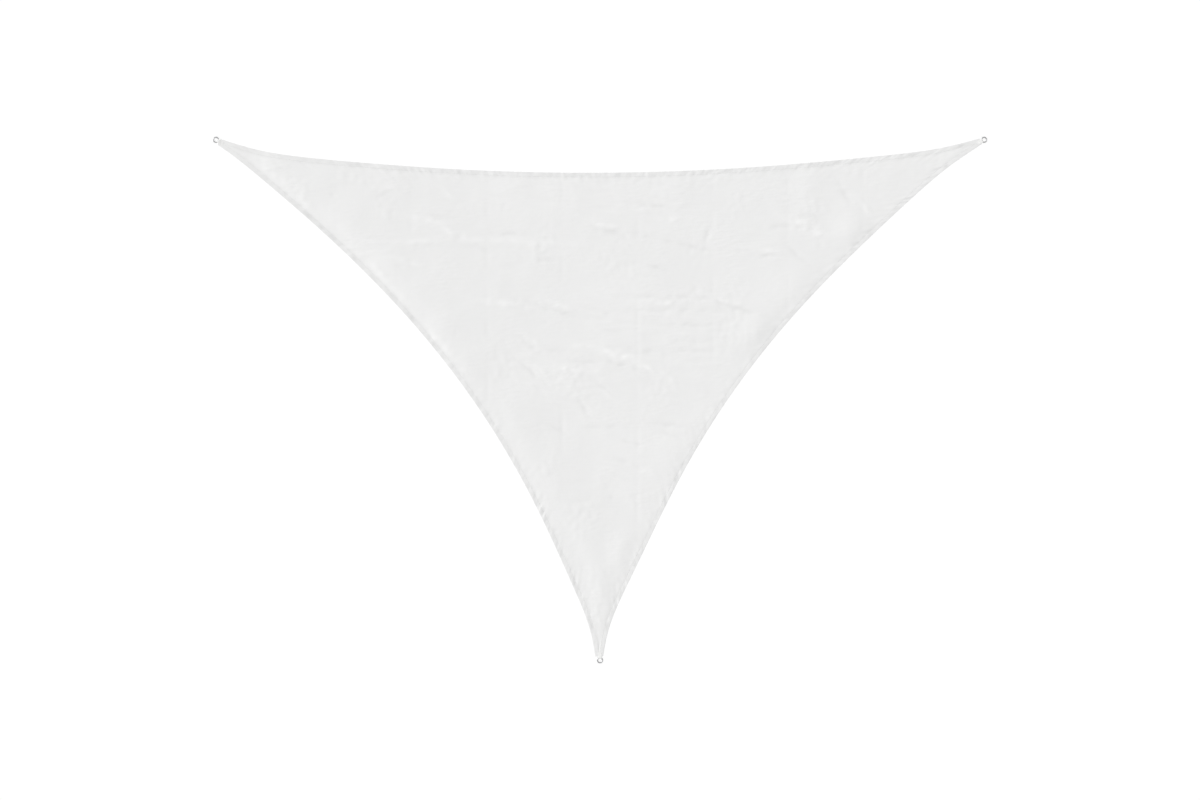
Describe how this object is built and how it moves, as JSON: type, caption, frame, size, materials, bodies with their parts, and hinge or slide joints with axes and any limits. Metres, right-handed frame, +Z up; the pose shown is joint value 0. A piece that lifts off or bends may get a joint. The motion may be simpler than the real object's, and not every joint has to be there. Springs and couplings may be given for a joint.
{
  "type": "triangular shade sail",
  "caption": "Three-cornered cloth sun shade with hollowed, hemmed edges and a round steel ring in a webbing loop at each corner, laid out flat.",
  "frame": {"origin": "on the surface under the middle of the sail's bounding box", "axes": "+X along the long edge, +Y from the far corner towards the long edge, +Z up from the surface"},
  "size_m": [5.9928, 4.0757, 0.0124],
  "materials": {
    "cloth": "matt, off-white woven polyester",
    "webbing": "matt, white woven webbing",
    "ring_steel": "satin stainless wire"
  },
  "bodies": {
    "root": {"sail_cloth": "cloth", "webbing_loop_left": "webbing", "webbing_loop_right": "webbing", "webbing_loop_bottom": "webbing", "corner_ring_left": "ring_steel", "corner_ring_right": "ring_steel", "corner_ring_bottom": "ring_steel"}
  },
  "joints": []
}
